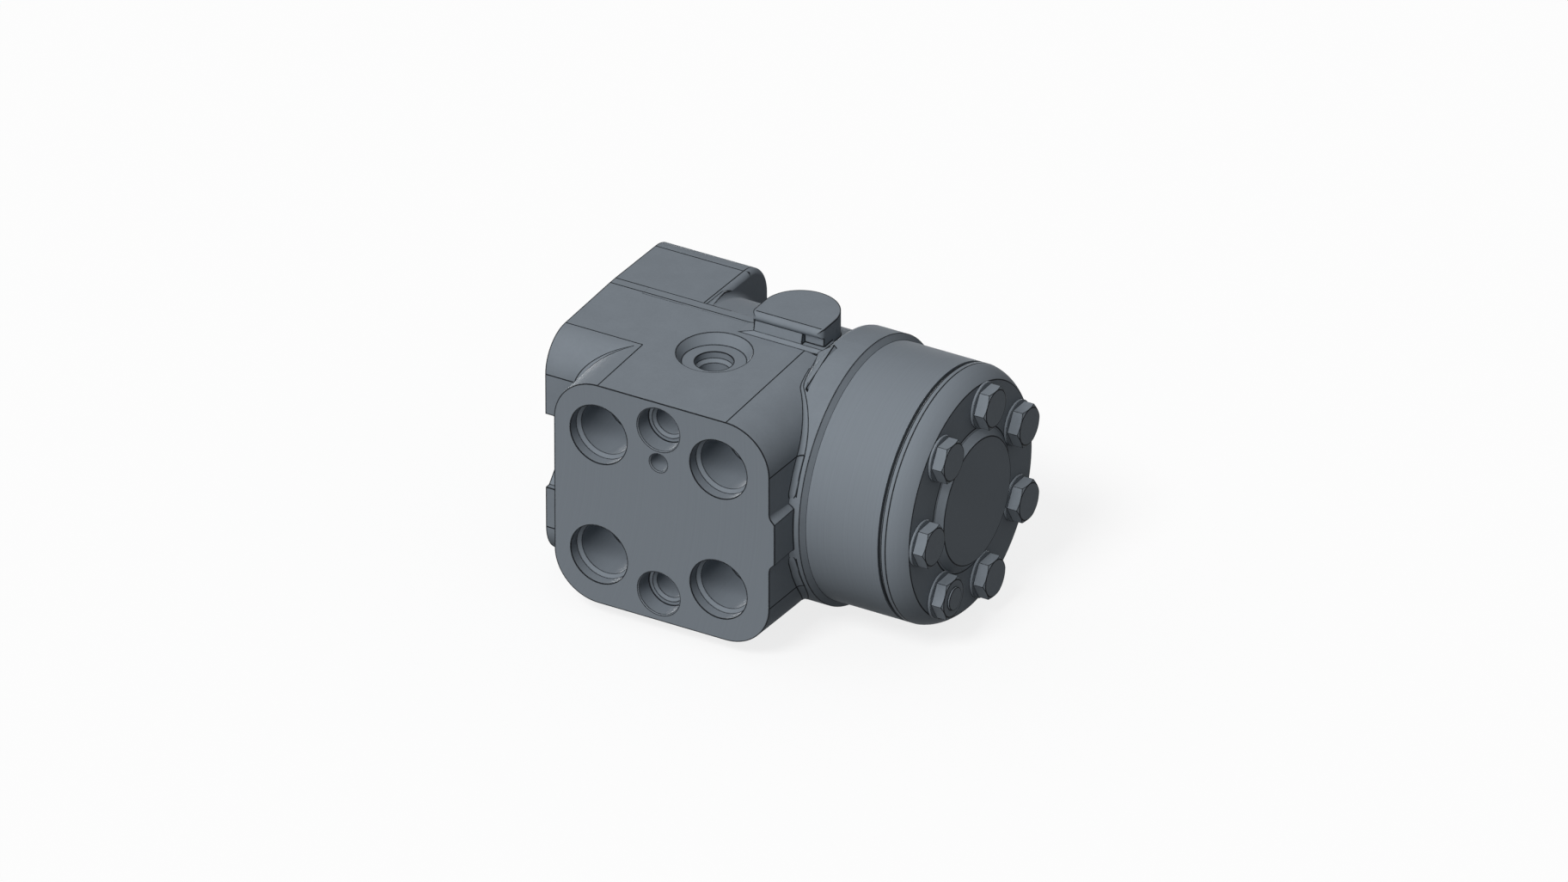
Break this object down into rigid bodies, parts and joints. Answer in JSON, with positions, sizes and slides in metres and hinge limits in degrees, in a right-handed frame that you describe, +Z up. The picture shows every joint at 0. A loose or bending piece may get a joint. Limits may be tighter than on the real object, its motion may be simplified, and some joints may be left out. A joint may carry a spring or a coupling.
{
  "type": "steering valve",
  "caption": "Hydrostatic steering valve: cast port block with rotary spool set, orbiting gear set and bolted end cover.",
  "frame": {"origin": "on the shaft axis, in the mounting face that meets the steering column", "axes": "+X along the shaft from the column towards the end cover, -Y out of the port face, +Z up"},
  "size_m": [0.142, 0.1043, 0.0963],
  "materials": {
    "casting": "satin",
    "plate_steel": "satin",
    "screw_steel": "satin",
    "bright_steel": "polished",
    "spring_steel": "satin",
    "cage_brass": "satin",
    "seal_rubber": "matte"
  },
  "bodies": {
    "housing": {"housing": "casting", "dust_seal": "seal_rubber", "shaft_seal": "seal_rubber", "bearing_outer_race": "bright_steel", "distributor_plate": "plate_steel", "gear_ring": "plate_steel", "end_cover": "casting", "cover_screws": "screw_steel", "special_screw": "screw_steel", "cover_washers": "screw_steel", "plate_o_ring": "seal_rubber", "ring_o_ring": "seal_rubber", "cover_o_ring": "seal_rubber", "check_bushing": "bright_steel", "suction_pins": "bright_steel"},
    "sleeve_set": {"sleeve": "bright_steel", "cross_pin": "bright_steel", "retaining_ring": "bright_steel", "flat_springs": "spring_steel", "arched_springs": "spring_steel", "bearing_inner_race": "bright_steel"},
    "spool": {"spool": "bright_steel"},
    "needle_cage": {"bearing_cage": "cage_brass", "bearing_needles": "bright_steel"},
    "drive_spacer": {"drive_spacer": "bright_steel"},
    "rotor": {"rotor": "bright_steel"},
    "cardan": {"cardan_shaft": "bright_steel"},
    "check_ball": {"check_ball": "bright_steel"},
    "upper_suction_ball": {"upper_suction_ball": "bright_steel"},
    "lower_suction_ball": {"lower_suction_ball": "bright_steel"}
  },
  "joints": [
    {"name": "sleeve_turn", "type": "hinge", "parent": "housing", "child": "sleeve_set", "pos_m": [0.06, 0, 0], "axis": [1, 0, 0], "continuous": true},
    {"name": "spool_lead", "type": "hinge", "parent": "sleeve_set", "child": "spool", "pos_m": [0.06, 0, 0], "axis": [1, 0, 0], "range_deg": [-8, 8], "stiffness_Nm_per_rad": 12},
    {"name": "needle_roll", "type": "hinge", "parent": "housing", "child": "needle_cage", "pos_m": [0.02, 0, 0], "axis": [1, 0, 0], "continuous": true},
    {"name": "rotor_orbit", "type": "hinge", "parent": "housing", "child": "drive_spacer", "pos_m": [0.1197, 0, 0], "axis": [1, 0, 0], "continuous": true},
    {"name": "rotor_spin", "type": "hinge", "parent": "drive_spacer", "child": "rotor", "pos_m": [0.1197, -0.003, 0], "axis": [1, 0, 0], "continuous": true},
    {"name": "cardan_spin", "type": "hinge", "parent": "drive_spacer", "child": "cardan", "pos_m": [0.1197, -0.003, 0], "axis": [0.9987, -0.0502, 0], "continuous": true},
    {"name": "check_ball_lift", "type": "slide", "parent": "housing", "child": "check_ball", "axis": [0, 1, 0], "range_m": [0, 0.002]},
    {"name": "upper_suction_lift", "type": "slide", "parent": "housing", "child": "upper_suction_ball", "axis": [1, 0, 0], "range_m": [0, 0.001]},
    {"name": "lower_suction_lift", "type": "slide", "parent": "housing", "child": "lower_suction_ball", "axis": [1, 0, 0], "range_m": [0, 0.001]}
  ],
  "couplings": [
    {"joint": "needle_roll", "follows": "sleeve_turn", "ratio": 0.5},
    {"joint": "rotor_orbit", "follows": "sleeve_turn", "ratio": -6},
    {"joint": "rotor_spin", "follows": "sleeve_turn", "ratio": 7},
    {"joint": "cardan_spin", "follows": "sleeve_turn", "ratio": 7}
  ]
}
